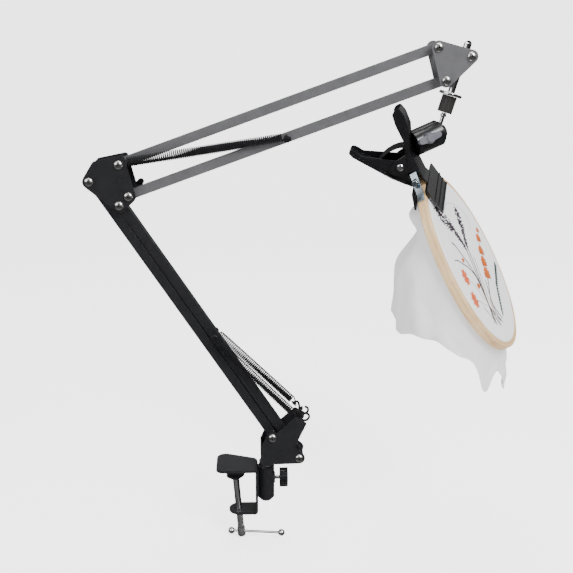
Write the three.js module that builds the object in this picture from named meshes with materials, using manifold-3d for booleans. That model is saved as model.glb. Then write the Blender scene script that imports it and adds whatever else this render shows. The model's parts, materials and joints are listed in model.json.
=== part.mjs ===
// Embroidery hoop on a spring-balanced desk stand.
// A table clamp carries a swivelling bracket, two parallelogram arms balanced by extension springs,
// a tilting head with a small ball joint, and a wide spring clip that grips a wooden hoop.
// Millimetres, +Z up. The arms lie in the XZ plane. The origin of the part is on the underside of the
// clamp's top plate, which rests on the table. The pieces are placed from the axis of the swivel post,
// which stands PLATE_REACH to the right of that origin.

import * as THREE from 'three';
import { mergeVertices } from 'three/addons/utils/BufferGeometryUtils.js';
import Module from 'manifold-3d';

const wasm = await Module();
wasm.setup();

const DEG = Math.PI / 180;
const GAP = 0.3;                       // clearance between touching pieces

// Clamp
const PLATE_REACH = 40;                // from the origin on the top plate to the swivel axis
const SHEET = 2.8;                     // thickness of the bent clamp strip
const SPINE_X = -9.3;                  // face of the strip that carries the socket
const TIP_X = -56.5;                   // tip of the top plate
const JAW_TOP = -53.9;                 // upper face of the lower jaw
const JAW_TIP_RADIUS = 12.7;
const SOCKET_RADIUS = 9.5;
const SOCKET_DEPTH = 43.5;
const POST_RADIUS = 6;
const LOCK_HEIGHT = -16.5;             // height of the lock screw's axis
const SCREW_FOOT = [-31.6, -55];       // where the clamp screw passes the lower jaw, as x and z
const SCREW_LEAN = 4.7 * DEG;          // the screw leans towards the table in its stamped thread
const SCREW_RADIUS = 3.7;
const PAD_RISE = 38;                   // from the screw's foot up to the seat of the pressure pad
const TOMMY_DROP = 29.5;               // from the screw's foot down to the tommy bar
const TOMMY_LEFT = 12;                 // reach of the tommy bar to each side, ball centres
const TOMMY_RIGHT = 48.3;
const TOMMY_TURN = -15 * DEG;          // where the bar stands round the screw, right end forward

// Arms
const BAR = 10;                        // square tube, outer side
const WALL = 1;
const LOWER_LENGTH = 346;              // pivot to pivot
const UPPER_LENGTH = 349;
const LOWER_ANGLE = 123.2 * DEG;       // direction of the lower arm, measured from +X towards +Z
const UPPER_ANGLE = 19.7 * DEG;
const PLATE_INNER = 14.6;              // half the distance between a pair of side plates
const PLATE = 1.5;
const PLATE_OUTER = PLATE_INNER + PLATE;
const BOLT_RADIUS = 2.5;
const BORE_RADIUS = 2.8;
const BUSH_RADIUS = 4.5;
const SPRING_RADIUS = 4.3;             // outer radius of a balance spring
const SPRING_SIDE = 10;                // distance of a spring from the middle plane
const SPRING_STAGGER = 1.6;            // the rear spring sits this much above, the front one below
const WIRE = 0.65;

// Pivots as [x, z]
const plus = (p, q) => [p[0] + q[0], p[1] + q[1]];
const along = (p, angle, distance) => [p[0] + distance * Math.cos(angle), p[1] + distance * Math.sin(angle)];
const BASE_LEFT = [7.3, 39];
const BASE_RIGHT = plus(BASE_LEFT, [30.2, -25]);
const ELBOW_LEFT = along(BASE_LEFT, LOWER_ANGLE, LOWER_LENGTH);
const ELBOW_RIGHT = along(BASE_RIGHT, LOWER_ANGLE, LOWER_LENGTH);
const ELBOW_TOP = plus(ELBOW_LEFT, [31.3, 17.5]);
const ELBOW_BOTTOM = plus(ELBOW_TOP, [9, -33]);
const END_TOP = along(ELBOW_TOP, UPPER_ANGLE, UPPER_LENGTH);
const END_BOTTOM = along(ELBOW_BOTTOM, UPPER_ANGLE, UPPER_LENGTH);
const TILT_PIVOT = plus(END_TOP, [33.9, -8.9]);
const LOWER_PIN_REACH = 170;           // spring pins, measured along their bars
const UPPER_PIN_REACH = 176;
const LOWER_PIN = along(BASE_RIGHT, LOWER_ANGLE, LOWER_PIN_REACH);
const UPPER_PIN = along(ELBOW_BOTTOM, UPPER_ANGLE, UPPER_PIN_REACH);
const HOOK_EYE = [36.5, 67.6];         // where the lower springs end on their hooks

// Head
const ROD_LEAN = 17 * DEG;             // the rod leans this far from vertical
const FLANGE_CENTRE = [194.8, 416.4];
const ROD_RADIUS = 3.7;
const ROD_TOP = 54.5;                  // rod end above the flange
const BALL_DROP = 41.7;                // ball centre below the flange, along the rod
const BALL_RADIUS = 6;
const HOUSING_RADIUS = 13.8;
const HOUSING_BACK = 31;               // housing reach behind and ahead of the ball centre
const HOUSING_FRONT = 4;

// Clip and hoop
const CLIP_PIVOT = new THREE.Vector3(144.3, -8.5, 347.05);
const HOOP_AZIMUTH = -22.8 * DEG;      // direction in which the embroidered face looks
const HOOP_ELEVATION = 29.4 * DEG;
const CLIP_TURN = 18 * DEG;            // turn of the clip about the hoop's normal
const CLIP_HALF = 15.2;                // half width of the clip's body
const BLADE_HALF = 36.5;               // half width of its jaws
const MOULDING = 2.2;                  // wall thickness of the clip
const HOOP_IN_CLIP = [131, -10.3, 8.7];
const HOOP_RADIUS = 102.6;
const HOOP_INNER = 97.1;
const INNER_RING_RADIUS = 96.6;
const INNER_RING_INNER = 91.2;
const HOOP_HALF = 5;                   // half the depth of the rings

// ---------------------------------------------------------------- geometry helpers

function weld(geometry) {
  const bare = geometry.clone();
  for (const name of Object.keys(bare.attributes)) {
    if (name !== 'position') bare.deleteAttribute(name);
  }
  bare.clearGroups();
  const merged = mergeVertices(bare, 1e-4);
  const corners = merged.index.array;
  const kept = [];
  for (let i = 0; i < corners.length; i += 3) {
    const [a, b, c] = [corners[i], corners[i + 1], corners[i + 2]];
    if (a !== b && b !== c && c !== a) kept.push(a, b, c);
  }
  merged.setIndex(kept);
  return merged;
}

function toSolid(geometry) {
  const welded = weld(geometry);
  const mesh = new wasm.Mesh({
    numProp: 3,
    vertProperties: new Float32Array(welded.attributes.position.array),
    triVerts: new Uint32Array(welded.index.array),
  });
  mesh.merge();
  return new wasm.Manifold(mesh);
}

function toGeometry(solid) {
  const mesh = solid.getMesh();
  const geometry = new THREE.BufferGeometry();
  geometry.setAttribute('position', new THREE.BufferAttribute(new Float32Array(mesh.vertProperties), 3));
  geometry.setIndex(Array.from(mesh.triVerts));
  return geometry;
}

const join = (...parts) => toGeometry(parts.map(toSolid).reduce((sum, part) => sum.add(part)));
const cut = (base, ...tools) => toGeometry(tools.map(toSolid).reduce((rest, tool) => rest.subtract(tool),
  toSolid(base)));
const common = (one, other) => toGeometry(toSolid(one).intersect(toSolid(other)));

const box = (x0, x1, y0, y1, z0, z1) =>
  new THREE.BoxGeometry(x1 - x0, y1 - y0, z1 - z0).translate((x0 + x1) / 2, (y0 + y1) / 2, (z0 + z1) / 2);

// Cylinder along Y at [x, z] from one y to another.
const pin = ([x, z], radius, y0, y1, sides = 12) =>
  new THREE.CylinderGeometry(radius, radius, y1 - y0, sides).translate(x, (y0 + y1) / 2, z);

// Outline drawn in X and Z, thickness along Y.
const slab = (shape, y0, y1) =>
  new THREE.ExtrudeGeometry(shape, { depth: y1 - y0, bevelEnabled: false, curveSegments: 8 })
    .rotateX(Math.PI / 2)
    .translate(0, y1, 0);

// Outline drawn in X and Y, thickness along Z.
const sheet = (shape, z0, z1) =>
  new THREE.ExtrudeGeometry(shape, { depth: z1 - z0, bevelEnabled: false, curveSegments: 8 }).translate(0,
  0, z0);

const polygon = (points) => new THREE.Shape(points.map(([x, y]) => new THREE.Vector2(x, y)));

// Convex outline around discs given as [x, y, radius].
function discHull(discs, step = 30) {
  const rim = [];
  for (const [x, y, r] of discs) {
    for (let a = 0; a < 360; a += step) rim.push([x + r * Math.cos(a * DEG), y + r * Math.sin(a * DEG)]);
  }
  rim.sort((p, q) => p[0] - q[0] || p[1] - q[1]);
  const turn = (o, p, q) => (p[0] - o[0]) * (q[1] - o[1]) - (p[1] - o[1]) * (q[0] - o[0]);
  const chain = (points) => {
    const line = [];
    for (const p of points) {
      while (line.length > 1 && turn(line[line.length - 2], line[line.length - 1], p) <= 1e-6) line.pop();
      line.push(p);
    }
    return line.slice(0, -1);
  };
  return polygon([...chain(rim), ...chain(rim.reverse())]);
}

// Solid of revolution about Y from [radius, height] pairs.
const turned = (profile, sides = 12) =>
  new THREE.LatheGeometry(profile.map(([r, h]) => new THREE.Vector2(r, h)), sides);

// Moves a shape made about +Y so that +Y points along an axis from a place.
function pointed(geometry, place, axis) {
  const turn = new THREE.Quaternion().setFromUnitVectors(new THREE.Vector3(0, 1, 0),
    axis.clone().normalize());
  return geometry.applyQuaternion(turn).translate(place.x, place.y, place.z);
}

// Wire or rod along a list of points.
function wire(points, radius, sides, steps) {
  const path = new THREE.CatmullRomCurve3(points.map((p) => new THREE.Vector3(...p)), false, 'centripetal');
  const corners = [];
  for (let i = 0; i < sides; i += 1) {
    corners.push([radius * Math.cos((i / sides) * 2 * Math.PI),
      radius * Math.sin((i / sides) * 2 * Math.PI)]);
  }
  return new THREE.ExtrudeGeometry(polygon(corners), { steps, bevelEnabled: false, extrudePath: path });
}

const paint = (colour, roughness, metalness) =>
  new THREE.MeshStandardMaterial({ color: colour, roughness, metalness });
const PAINT = [0x2b2a2d, 0.45, 0.1];
const LIGHT_PAINT = [0x5d5d60, 0.45, 0.1];
const CHROME = [0xd8d8da, 0.12, 1];
const NICKEL = [0xc9c8c4, 0.25, 1];
const SPRING_STEEL = [0x2a2a2c, 0.3, 0.8];
const PLASTIC = [0x141416, 0.3, 0];
const GREY_PLASTIC = [0x3c3c42, 0.4, 0];
const WOOD = [0xdcbf92, 0.6, 0];
const ZINC = [0xb7c3cc, 0.3, 1];
const CLOTH = [0xf2f2f4, 0.9, 0];

const model = new THREE.Group();
const stand = new THREE.Group();
stand.position.x = PLATE_REACH;
model.add(stand);

function add(name, geometry, look, parent = stand) {
  const mesh = new THREE.Mesh(weld(geometry), paint(...look));
  mesh.name = name;
  parent.add(mesh);
  return mesh;
}

// ---------------------------------------------------------------- clamp

function clampFrame() {
  const strip = polygon([
    [TIP_X - 1, 0], [SPINE_X - SHEET, 0], [SPINE_X - SHEET, JAW_TOP], [-60, JAW_TOP], [-60, JAW_TOP - SHEET],
    [SPINE_X - 4, JAW_TOP - SHEET], [SPINE_X - 1.2, JAW_TOP - SHEET + 1.2], [SPINE_X, JAW_TOP - SHEET + 4],
    [SPINE_X, SHEET - 4], [SPINE_X - 1.2, SHEET - 1.2], [SPINE_X - 4, SHEET], [TIP_X - 1, SHEET],
  ]);
  const topView = discHull([[TIP_X + 8, -15, 8], [TIP_X + 10, 14, 10], [0, -22, 1], [0, 5, 1]], 15);
  const jawView = discHull([[SCREW_FOOT[0] + 1.6, -0.7, JAW_TIP_RADIUS], [0, -12.4, 1], [0, 11, 1]], 15);
  const edgeView = polygon([[-23, 4], [10, 4], [10, -12], [12, -60], [-13.4, -60], [-23, -12]]);
  const plate = common(slab(strip, -40, 40), sheet(topView, -1, 5));
  const jaw = common(slab(strip, -40, 40), sheet(jawView, JAW_TOP - 5, JAW_TOP + 1));
  const edges = new THREE.ExtrudeGeometry(edgeView, { depth: 10, bevelEnabled: false });
  edges.rotateX(Math.PI / 2).rotateZ(Math.PI / 2).translate(SPINE_X - 5, 0, 0);
  const spine = common(slab(strip, -40, 40), edges);
  const socket = turned([[0, -SOCKET_DEPTH], [6, -SOCKET_DEPTH], [SOCKET_RADIUS, -SOCKET_DEPTH + 4],
    [SOCKET_RADIUS, -1], [0, -1]], 24).rotateX(Math.PI / 2);
  const boss = pointed(turned([[0, 0], [6.5, 0], [6.5, 10.4], [0, 10.4]]),
    new THREE.Vector3(0, 0, LOCK_HEIGHT), new THREE.Vector3(1, 0, 0));
  const weldSeam = box(SPINE_X - 1, -5, -5, 5, -SOCKET_DEPTH + 5, -2);
  const frame = join(plate, jaw, spine, socket, boss, weldSeam);
  const bore = new THREE.CylinderGeometry(POST_RADIUS + GAP, POST_RADIUS + GAP, 60, 24).rotateX(Math.PI / 2)
    .translate(0, 0, -11);
  const lockHole = pointed(new THREE.CylinderGeometry(2.4, 2.4, 20, 16).translate(0, 10, 0),
    new THREE.Vector3(0, 0, LOCK_HEIGHT), new THREE.Vector3(1, 0, 0));
  const thread = new THREE.CylinderGeometry(SCREW_RADIUS + GAP, SCREW_RADIUS + GAP, 20,
    20).rotateX(Math.PI / 2)
    .rotateY(-SCREW_LEAN).translate(SCREW_FOOT[0], 0, SCREW_FOOT[1]);
  return cut(frame, bore, lockHole, thread);
}
add('clamp_frame', clampFrame(), PAINT);

// The screw, its pad and its bar stand in a frame that leans with the screw.
const leaning = new THREE.Group();
leaning.position.set(SCREW_FOOT[0], 0, SCREW_FOOT[1]);
leaning.rotation.y = -SCREW_LEAN;
stand.add(leaning);

const upright = (profile, sides) => turned(profile, sides).rotateX(Math.PI / 2);

function clampScrew() {
  const top = PAD_RISE + 1;
  const body = upright([[0, -TOMMY_DROP - 6], [3.4, -TOMMY_DROP - 6], [4.6, -TOMMY_DROP - 4.5],
    [4.6, -TOMMY_DROP + 5], [SCREW_RADIUS, -TOMMY_DROP + 6.5], [SCREW_RADIUS, top], [2.6, top],
    [2.6, top + 2.6], [0, top + 2.6]], 20);
  const hole = new THREE.CylinderGeometry(1.4 + GAP, 1.4 + GAP, 20, 16).rotateZ(Math.PI / 2 + TOMMY_TURN)
    .translate(0, 0, -TOMMY_DROP);
  return cut(body, hole);
}
add('clamp_screw', clampScrew(), CHROME, leaning);

const padSeat = PAD_RISE + 1 + GAP;
add('pressure_pad', upright([[0, padSeat + 3.2], [2.6 + GAP, padSeat + 3.2], [2.6 + GAP, padSeat],
  [7, padSeat], [7, padSeat + 1.5], [10.5, padSeat + 2.6], [10.5, padSeat + 5],
  [0, padSeat + 5]], 24), PLASTIC, leaning);

const ball = (x, radius) => new THREE.SphereGeometry(radius, 12, 8).translate(x, 0, 0);
const tommyRod = new THREE.CylinderGeometry(1.4, 1.4, TOMMY_LEFT + TOMMY_RIGHT, 10).rotateZ(Math.PI / 2)
  .translate((TOMMY_RIGHT - TOMMY_LEFT) / 2, 0, 0);
add('tommy_bar', join(tommyRod, ball(-TOMMY_LEFT, 4), ball(TOMMY_RIGHT, 4)).rotateZ(TOMMY_TURN)
  .translate(0, 0, -TOMMY_DROP), CHROME, leaning);

function lockKnob() {
  const ridges = 18;
  const rim = [];
  for (let i = 0; i < ridges; i += 1) {
    for (const [share, radius] of [[0, 11], [0.35, 11], [0.5, 9.9], [0.85, 9.9]]) {
      const a = ((i + share) / ridges) * 2 * Math.PI;
      rim.push([radius * Math.cos(a), radius * Math.sin(a)]);
    }
  }
  const grip = sheet(polygon(rim), 15.6, 25).rotateY(Math.PI / 2);
  const shank = new THREE.CylinderGeometry(2, 2, 10, 16).rotateZ(Math.PI / 2).translate(11.7, 0, 0);
  return join(grip, shank).translate(0, 0, LOCK_HEIGHT);
}
add('lock_knob', lockKnob(), PLASTIC);

// ---------------------------------------------------------------- swivelling base

const FLOOR = 5.5;                     // underside of the bracket's floor
add('swivel_post', upright([[0, -SOCKET_DEPTH + 3], [POST_RADIUS - 1, -SOCKET_DEPTH + 3],
  [POST_RADIUS, -SOCKET_DEPTH + 4], [POST_RADIUS, -1 + GAP], [8, -1 + GAP], [8, FLOOR - GAP],
  [3, FLOOR - GAP],
  [3, FLOOR + PLATE + GAP], [4.3, FLOOR + PLATE + GAP], [3.9, FLOOR + PLATE + 2.5],
  [0, FLOOR + PLATE + 2.5]], 24), CHROME);

// One side of the bracket: the body with its two pivots, and the arm that holds the spring hook.
function bracketSide(y0, y1) {
  const body = discHull([[...BASE_LEFT, 7], [-4.2, 25.5, 2], [-4.7, 8, 1.5], [8, 8.6, 1],
    [...BASE_RIGHT, 6.5]]);
  const arm = discHull([[23, 29, 9], [43.4, 55.6, 2], [34, 61, 2], [14, 38, 6]]);
  return join(slab(body, y0, y1), slab(arm, y0, y1));
}

// The bent-in flange at the tip of an arm, square to the pull of the springs.
function hookFlange(side) {
  const pull = Math.atan2(HOOK_EYE[1] - LOWER_PIN[1], HOOK_EYE[0] - LOWER_PIN[0]);
  const y = side * (PLATE_OUTER + 7.4) / 2;
  const half = (PLATE_OUTER - 7.4) / 2;
  const plate = box(-PLATE / 2, PLATE / 2, y - half, y + half, -8, 5);
  const hole = new THREE.CylinderGeometry(3.1, 3.1, 10, 16).rotateZ(Math.PI / 2).translate(0,
    side * SPRING_SIDE, 0);
  return cut(plate, hole).rotateY(-pull).translate(38.9, 0, 60.8);
}

function baseBracket() {
  const web = box(-6.2, -6.2 + PLATE, -PLATE_OUTER, PLATE_OUTER, FLOOR, 26);
  const floor = box(-6.2, 9, -PLATE_OUTER, PLATE_OUTER, FLOOR, FLOOR + PLATE);
  const sides = [bracketSide(-PLATE_OUTER, -PLATE_INNER), bracketSide(PLATE_INNER, PLATE_OUTER)];
  const bracket = join(...sides, web, floor, hookFlange(1), hookFlange(-1));
  const holes = [BASE_LEFT, BASE_RIGHT].map((p) => pin(p, BORE_RADIUS, -20, 20));
  const postHole = new THREE.CylinderGeometry(3 + GAP, 3 + GAP, 10, 20).rotateX(Math.PI / 2).translate(0,
    0, FLOOR);
  return cut(bracket, ...holes, postHole);
}
add('base_bracket', baseBracket(), PAINT);

// A hook of thick wire: its bow holds the spring's loop, its tail passes the flange and curls round.
function springHook(side) {
  const [x, z] = HOOK_EYE;
  const y = side * SPRING_SIDE;
  const eye = z + side * SPRING_STAGGER;
  const path = [[x - 4.4, y, eye - 0.6], [x - 3.2, y, eye + 2.8], [x + 0.2, y, eye + 3],
    [x + 1.8, y, eye - 0.8],
    [x + 2.2, y, z - 4.2], [x + 2.7, y, z - 7.4], [x + 5.4, y, z - 9.8], [x + 9, y, z - 9.8],
    [x + 12, y, z - 7],
    [x + 11.6, y, z - 3], [x + 8.4, y, z - 1.6]];
  return wire(path, 1.4, 6, 22);
}
add('spring_hook_front', springHook(-1), PLASTIC);
add('spring_hook_rear', springHook(1), PLASTIC);

// ---------------------------------------------------------------- fasteners of the pivots

function pivotBolt(place) {
  const head = turned([[0, -2.7], [2.6, -2.7], [4.2, -1.9], [4.8, -0.9], [4.8, 0], [0, 0]])
    .translate(0, -PLATE_OUTER - GAP, 0);
  const shank = pin([0, 0], BOLT_RADIUS, -PLATE_OUTER - GAP - 0.5, PLATE_OUTER + 6);
  return join(head, shank).translate(place[0], 0, place[1]);
}

function pivotNut(place) {
  const start = PLATE_OUTER + GAP;
  const hexagon = pin(place, 4.6, start, start + 4.4, 6);
  return cut(hexagon, pin(place, BORE_RADIUS, start - 1, start + 6));
}

// Wing nut with both wings in the plane of the arms, one of them pointing along an angle.
function wingNut(place, angle) {
  const start = PLATE_OUTER + GAP;
  const hub = turned([[0, start], [5.6, start], [5, start + 10], [3.5, start + 11], [0, start + 11]]);
  const wings = slab(discHull([[-13.5, 0, 3.4], [0, 0, 4.6], [13.5, 0, 3.4]]), start + 6.6, start + 9.8);
  const nut = cut(join(hub, wings), pin([0, 0], BORE_RADIUS, start - 1, start + 6));
  return nut.rotateY(-angle).translate(place[0], 0, place[1]);
}

add('base_bolt_left', pivotBolt(BASE_LEFT), NICKEL);
add('base_bolt_right', pivotBolt(BASE_RIGHT), NICKEL);
add('base_nut_left', pivotNut(BASE_LEFT), NICKEL);
add('base_nut_right', pivotNut(BASE_RIGHT), NICKEL);
add('elbow_bolt_left', pivotBolt(ELBOW_LEFT), NICKEL);
add('elbow_bolt_right', pivotBolt(ELBOW_RIGHT), NICKEL);
add('elbow_bolt_top', pivotBolt(ELBOW_TOP), NICKEL);
add('elbow_bolt_bottom', pivotBolt(ELBOW_BOTTOM), NICKEL);
add('elbow_nut_left', pivotNut(ELBOW_LEFT), NICKEL);
add('elbow_nut_right', pivotNut(ELBOW_RIGHT), NICKEL);
add('elbow_nut_top', pivotNut(ELBOW_TOP), NICKEL);
add('elbow_wing_nut', wingNut(ELBOW_BOTTOM, 50 * DEG), PLASTIC);
add('end_bolt_top', pivotBolt(END_TOP), NICKEL);
add('end_bolt_bottom', pivotBolt(END_BOTTOM), NICKEL);
add('end_nut_top', pivotNut(END_TOP), NICKEL);
add('end_nut_bottom', pivotNut(END_BOTTOM), NICKEL);
add('tilt_bolt', pivotBolt(TILT_PIVOT), NICKEL);
add('tilt_wing_nut', wingNut(TILT_PIVOT, 68 * DEG), PLASTIC);

// ---------------------------------------------------------------- arms

// Square tube from the origin along +X, open at both ends, with spacer bushes on its sides at each
// pivot and a hole for a spring pin.
function armBar(length, pinReach) {
  const tube = cut(slab(discHull([[0, 0, BAR / 2], [length, 0, BAR / 2]]), -BAR / 2, BAR / 2),
    box(-20, length + 20, WALL - BAR / 2, BAR / 2 - WALL, WALL - BAR / 2, BAR / 2 - WALL));
  const reach = PLATE_INNER - GAP;
  const bushes = [0, length].flatMap((x) => [
    pin([x, 0], BUSH_RADIUS, -reach, WALL / 2 - BAR / 2),
    pin([x, 0], BUSH_RADIUS, BAR / 2 - WALL / 2, reach),
  ]);
  const bores = [0, length].map((x) => pin([x, 0], BORE_RADIUS, -20, 20));
  if (pinReach) bores.push(pin([pinReach, 0], 2 + GAP, -20, 20));
  return cut(join(tube, ...bushes), ...bores);
}

function addBar(name, place, angle, length, pinReach, look) {
  const bar = add(name, armBar(length, pinReach), look);
  bar.position.set(place[0], 0, place[1]);
  bar.rotation.y = -angle;
}
addBar('lower_bar_left', BASE_LEFT, LOWER_ANGLE, LOWER_LENGTH, 0, PAINT);
addBar('lower_bar_right', BASE_RIGHT, LOWER_ANGLE, LOWER_LENGTH, LOWER_PIN_REACH, PAINT);
addBar('upper_bar_top', ELBOW_TOP, UPPER_ANGLE, UPPER_LENGTH, 0, LIGHT_PAINT);
addBar('upper_bar_bottom', ELBOW_BOTTOM, UPPER_ANGLE, UPPER_LENGTH, UPPER_PIN_REACH, LIGHT_PAINT);

const springPin = (place) => turned([[0, -16.4], [2.6, -16.4], [4.2, -15.9], [4.2, -14.8], [2, -14.8],
  [2, 14.8],
  [4.2, 14.8], [4.2, 15.9], [2.6, 16.4], [0, 16.4]]).translate(place[0], 0, place[1]);
add('lower_spring_pin', springPin(LOWER_PIN), PLASTIC);
add('upper_spring_pin', springPin(UPPER_PIN), PLASTIC);

// Closed loop of spring wire round Z at the origin, with a short lead to the coils along +X.
function springLoop(radius, lift) {
  const points = [[radius + 4, 0, lift]];
  for (let a = 45; a <= 315; a += 45) {
    points.push([radius * Math.cos(a * DEG), 0, radius * Math.sin(a * DEG)]);
  }
  return wire(points, WIRE, 4, 12);
}

// Extension spring along +X from its pin at the origin: a loop round the pin, the coils as a plain
// sleeve, and a loop at the far end, which may stand square to the first one.
function balanceSpring(length, lift, farRadius, farTurn) {
  const nearRadius = 3.2;
  const start = nearRadius + 2.5;
  const end = length - farRadius - 2.5;
  const sleeve = new THREE.CylinderGeometry(SPRING_RADIUS, SPRING_RADIUS, end - start,
    12).rotateZ(Math.PI / 2)
    .translate((start + end) / 2, 0, lift);
  const far = springLoop(farRadius, farTurn ? 0 : lift).rotateX(farTurn).rotateY(Math.PI).translate(length,
    0, 0);
  return join(sleeve, springLoop(nearRadius, lift), far);
}

function addSpring(name, pinPlace, anchor, farRadius, farTurn, side) {
  const lift = side * SPRING_STAGGER;
  const reach = Math.hypot(anchor[0] - pinPlace[0], anchor[1] - pinPlace[1]);
  const spring = add(name, balanceSpring(reach, lift, farRadius, farTurn), SPRING_STEEL);
  spring.position.set(pinPlace[0], side * SPRING_SIDE, pinPlace[1]);
  spring.rotation.y = -Math.atan2(anchor[1] - pinPlace[1], anchor[0] - pinPlace[0]);
}
const bowOf = (side) => [HOOK_EYE[0] - 3.7, HOOK_EYE[1] + side * SPRING_STAGGER + 0.7];
addSpring('lower_spring_front', LOWER_PIN, bowOf(-1), 3.4, Math.PI / 2, -1);
addSpring('lower_spring_rear', LOWER_PIN, bowOf(1), 3.4, Math.PI / 2, 1);
addSpring('upper_spring_front', UPPER_PIN, ELBOW_TOP, 6.2, 0, -1);
addSpring('upper_spring_rear', UPPER_PIN, ELBOW_TOP, 6.2, 0, 1);

// ---------------------------------------------------------------- elbow and end plates

function sidePlate(discs, pivots, y0, y1) {
  return cut(slab(discHull(discs), y0, y1), ...pivots.map((p) => pin(p, BORE_RADIUS, -20, 20)));
}
const elbowDiscs = [[...ELBOW_LEFT, 7], [...ELBOW_RIGHT, 7], [...ELBOW_BOTTOM, 7.6],
  [ELBOW_TOP[0] + 3.5, ELBOW_TOP[1] + 6.8, 3], [ELBOW_LEFT[0] + 8.5, ELBOW_LEFT[1] + 16.5, 5.5]];
const elbowPivots = [ELBOW_LEFT, ELBOW_RIGHT, ELBOW_TOP, ELBOW_BOTTOM];
add('elbow_plate_front', sidePlate(elbowDiscs, elbowPivots, -PLATE_OUTER, -PLATE_INNER), PAINT);
add('elbow_plate_rear', sidePlate(elbowDiscs, elbowPivots, PLATE_INNER, PLATE_OUTER), PAINT);

const endDiscs = [[...END_TOP, 7.2], [...END_BOTTOM, 7], [...TILT_PIVOT, 7]];
const endPivots = [END_TOP, END_BOTTOM, TILT_PIVOT];
add('end_plate_front', sidePlate(endDiscs, endPivots, -PLATE_OUTER, -PLATE_INNER), LIGHT_PAINT);
add('end_plate_rear', sidePlate(endDiscs, endPivots, PLATE_INNER, PLATE_OUTER), LIGHT_PAINT);

// ---------------------------------------------------------------- head: rod, adapter and ball

// Pieces on the rod are turned about +Y and stand with +Y up the rod, zero at the flange.
const rodAxis = new THREE.Vector3(Math.sin(ROD_LEAN), 0, Math.cos(ROD_LEAN));
const flangeCentre = new THREE.Vector3(FLANGE_CENTRE[0], 0, FLANGE_CENTRE[1]);
const onRod = (geometry) => pointed(geometry, flangeCentre, rodAxis);

function tiltRod() {
  const rod = onRod(turned([[0, 1.8], [ROD_RADIUS, 1.8], [ROD_RADIUS, ROD_TOP - 1], [ROD_RADIUS - 1, ROD_TOP],
    [0, ROD_TOP]]));
  const eye = pin(TILT_PIVOT, 6, GAP - PLATE_INNER, PLATE_INNER - GAP, 24);
  return cut(join(rod, eye), pin(TILT_PIVOT, BORE_RADIUS, -20, 20));
}
add('tilt_rod', tiltRod(), CHROME);
add('rod_flange', onRod(turned([[0, -1.5], [11.6, -1.5], [12.2, -0.9], [12.2, 0.9], [11.6, 1.5],
  [0, 1.5]], 28)), CHROME);

function rodAdapter() {
  const ribs = 20;
  const rim = [];
  for (let i = 0; i < ribs; i += 1) {
    for (const [share, radius] of [[0, 7.8], [0.5, 7.8], [0.6, 7.2], [0.9, 7.2]]) {
      const a = ((i + share) / ribs) * 2 * Math.PI;
      rim.push([radius * Math.cos(a), radius * Math.sin(a)]);
    }
  }
  return onRod(sheet(polygon(rim), -19.5, -1.8).rotateX(-Math.PI / 2));
}
add('rod_adapter', rodAdapter(), PLASTIC);

function ballStud() {
  const stud = turned([[0, -BALL_DROP], [2.1, -BALL_DROP], [2.1, -24.5], [3.2, -23.5], [3.2, -22], [2.4, -21],
    [2.4, -19.8], [0, -19.8]], 16);
  return onRod(join(stud, new THREE.SphereGeometry(BALL_RADIUS, 12, 8).translate(0, -BALL_DROP, 0)));
}
add('ball_stud', ballStud(), CHROME);

// ---------------------------------------------------------------- clip frame

// Local axes of the clip: X from its pivot to the jaw tips, Y along the pivot, Z out of the front jaw.
const hoopNormal = new THREE.Vector3(Math.cos(HOOP_ELEVATION) * Math.cos(HOOP_AZIMUTH),
  Math.cos(HOOP_ELEVATION) * Math.sin(HOOP_AZIMUTH), Math.sin(HOOP_ELEVATION));
const uphill = new THREE.Vector3(0, 0, 1).projectOnPlane(hoopNormal).normalize();
const sideways = hoopNormal.clone().cross(uphill);
const clipX = uphill.clone().multiplyScalar(-Math.cos(CLIP_TURN)).addScaledVector(sideways,
  -Math.sin(CLIP_TURN));
const clipY = hoopNormal.clone().cross(clipX);
const clip = new THREE.Group();
clip.applyMatrix4(new THREE.Matrix4().makeBasis(clipX, clipY, hoopNormal).setPosition(CLIP_PIVOT));
stand.add(clip);

// Outer line of the front lever in the clip's X and Z, from its handle to its jaw.
const LEVER_LINE = [[-53, 29.6], [-45, 30.6], [-30, 27.6], [-11.5, 17.8], [22, 15.2], [30, 17.4]];

// Band of even thickness below a line of [x, z] points.
function band(line, thickness, y0, y1) {
  const lower = line.map(([x, z], i) => {
    const before = line[Math.max(i - 1, 0)];
    const after = line[Math.min(i + 1, line.length - 1)];
    const [dx, dz] = [after[0] - before[0], after[1] - before[1]];
    const size = Math.hypot(dx, dz);
    return [x + (dz / size) * thickness, z - (dx / size) * thickness];
  });
  return slab(polygon([...line, ...lower.reverse()]), y0, y1);
}

// Narrows a lever's handle evenly from one X to a share of its width at its tip.
function narrowed(geometry, from, tip, share) {
  const place = geometry.attributes.position;
  for (let i = 0; i < place.count; i += 1) {
    const along = Math.min(Math.max((place.getX(i) - from) / (tip - from), 0), 1);
    place.setY(i, place.getY(i) * (1 - (1 - share) * along));
  }
  return geometry;
}

// Cheeks of a lever: the same outline on both sides of the clip.
const cheeks = (outline, inner, outer) => [slab(outline, -outer, -inner), slab(outline, inner, outer)];

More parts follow.
